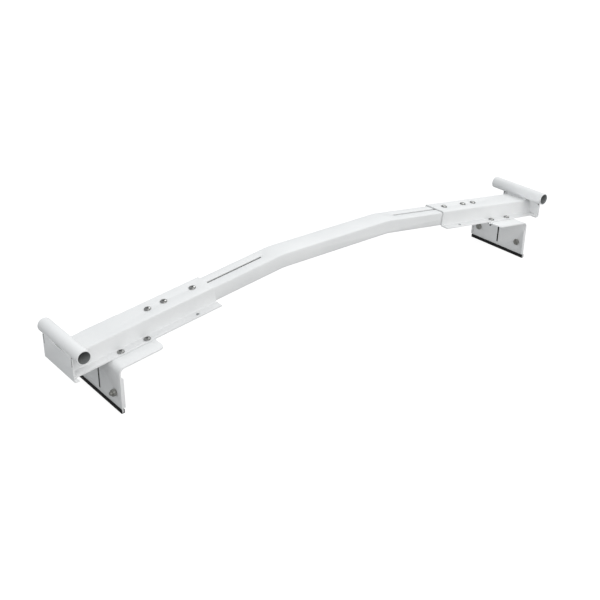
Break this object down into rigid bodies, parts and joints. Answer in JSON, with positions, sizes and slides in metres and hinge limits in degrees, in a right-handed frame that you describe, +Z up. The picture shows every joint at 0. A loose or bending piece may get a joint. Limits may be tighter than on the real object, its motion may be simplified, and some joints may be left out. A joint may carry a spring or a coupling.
{
  "type": "pull up bar",
  "caption": "Telescopic arched steel bar with sliding flanged sleeves, crosswise end tubes, rubber-edged hanging angle brackets and clamp screws.",
  "frame": {"origin": "centre of the bounding box in plan, on the plane that the rubber trims stand on", "axes": "+X along the bar towards the right sleeve, +Y away from the viewer, +Z up"},
  "size_m": [1.23, 0.159, 0.1778],
  "materials": {
    "white": "white powder coat, satin, fine orange-peel",
    "chrome": "bright plated dome heads",
    "zinc": "zinc plated",
    "black_steel": "black oxide, slightly oily",
    "rubber": "matt black edge trim"
  },
  "bodies": {
    "bar": {"center_bar": "white"},
    "left_arm": {"left_sleeve": "white", "left_end_plate": "white", "left_end_tube": "white", "left_bracket": "white", "left_edge_trim": "rubber", "left_clamp_strip": "zinc", "left_top_screw_1": "chrome", "left_top_screw_2": "chrome", "left_top_screw_3": "chrome", "left_flange_screw_1": "chrome", "left_flange_nut_1": "zinc", "left_flange_screw_2": "chrome", "left_flange_nut_2": "zinc", "left_flange_screw_3": "chrome", "left_flange_nut_3": "zinc", "left_flange_screw_4": "chrome", "left_flange_nut_4": "zinc", "left_plate_bolt_front": "black_steel", "left_plate_nut_front": "black_steel", "left_plate_bolt_back": "black_steel", "left_plate_nut_back": "black_steel"},
    "right_arm": {"right_sleeve": "white", "right_end_plate": "white", "right_end_tube": "white", "right_bracket": "white", "right_edge_trim": "rubber", "right_clamp_strip": "zinc", "right_top_screw_1": "chrome", "right_top_screw_2": "chrome", "right_top_screw_3": "chrome", "right_flange_screw_1": "chrome", "right_flange_nut_1": "zinc", "right_flange_screw_2": "chrome", "right_flange_nut_2": "zinc", "right_flange_screw_3": "chrome", "right_flange_nut_3": "zinc", "right_flange_screw_4": "chrome", "right_flange_nut_4": "zinc", "right_plate_bolt_front": "black_steel", "right_plate_nut_front": "black_steel", "right_plate_bolt_back": "black_steel", "right_plate_nut_back": "black_steel"}
  },
  "joints": [
    {"name": "left_sleeve_slide", "type": "slide", "parent": "bar", "child": "left_arm", "axis": [-0.9905, 0, -0.1374], "range_m": [-0.11, 0.03]},
    {"name": "right_sleeve_slide", "type": "slide", "parent": "bar", "child": "right_arm", "axis": [0.9905, 0, -0.1374], "range_m": [-0.11, 0.03]}
  ]
}
